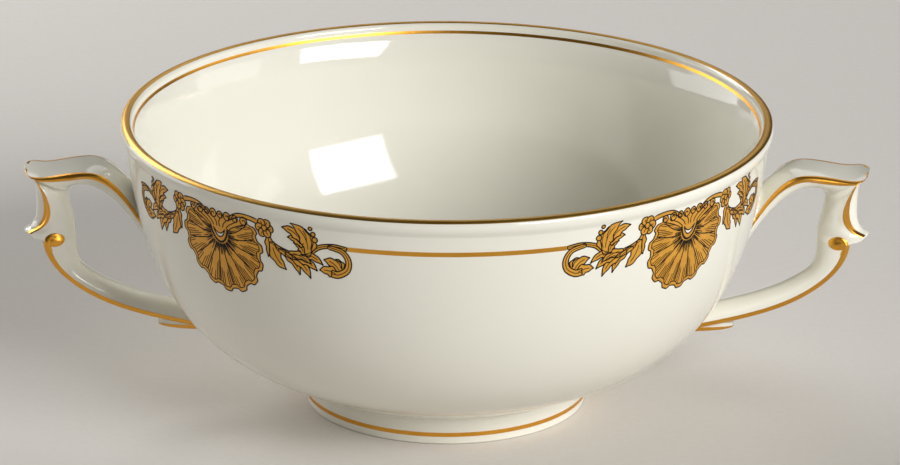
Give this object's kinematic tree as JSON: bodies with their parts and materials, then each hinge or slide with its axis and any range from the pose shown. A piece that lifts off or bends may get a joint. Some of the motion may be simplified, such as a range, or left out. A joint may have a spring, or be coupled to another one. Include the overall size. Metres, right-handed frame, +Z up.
{
  "type": "cream soup bowl",
  "caption": "Footed porcelain soup bowl with a pair of moulded scroll handles, gilded edges and gold shell and acanthus transfers round the wall.",
  "frame": {"origin": "centre of the foot ring's standing face, on the table", "axes": "+Z up along the bowl's axis, +X through the right handle, -Y to the front"},
  "size_m": [0.168, 0.1278, 0.0585],
  "materials": {
    "porcelain": "gloss",
    "gilding": "polished",
    "transfer": "satin"
  },
  "bodies": {
    "root": {"bowl_body": "porcelain", "foot_ring": "porcelain", "left_handle": "porcelain", "right_handle": "porcelain", "rim_gilding": "gilding", "inner_gold_line": "gilding", "foot_gold_line": "gilding", "border_line_front": "gilding", "border_line_back": "gilding", "left_rest_gilding_front": "gilding", "left_rest_gilding_back": "gilding", "left_stem_gilding_front": "gilding", "left_stem_gilding_back": "gilding", "left_lower_gilding_front": "gilding", "left_lower_gilding_back": "gilding", "left_volute_gilding_front": "gilding", "left_volute_gilding_back": "gilding", "left_tail_gilding_front": "gilding", "left_tail_gilding_back": "gilding", "right_rest_gilding_front": "gilding", "right_rest_gilding_back": "gilding", "right_stem_gilding_front": "gilding", "right_stem_gilding_back": "gilding", "right_lower_gilding_front": "gilding", "right_lower_gilding_back": "gilding", "right_volute_gilding_front": "gilding", "right_volute_gilding_back": "gilding", "right_tail_gilding_front": "gilding", "right_tail_gilding_back": "gilding", "front_right_shell": "transfer", "front_right_spray_clockwise": "transfer", "front_right_spray_counter": "transfer", "back_right_shell": "transfer", "back_right_spray_clockwise": "transfer", "back_right_spray_counter": "transfer", "back_left_shell": "transfer", "back_left_spray_clockwise": "transfer", "back_left_spray_counter": "transfer", "front_left_shell": "transfer", "front_left_spray_clockwise": "transfer", "front_left_spray_counter": "transfer"}
  },
  "joints": []
}
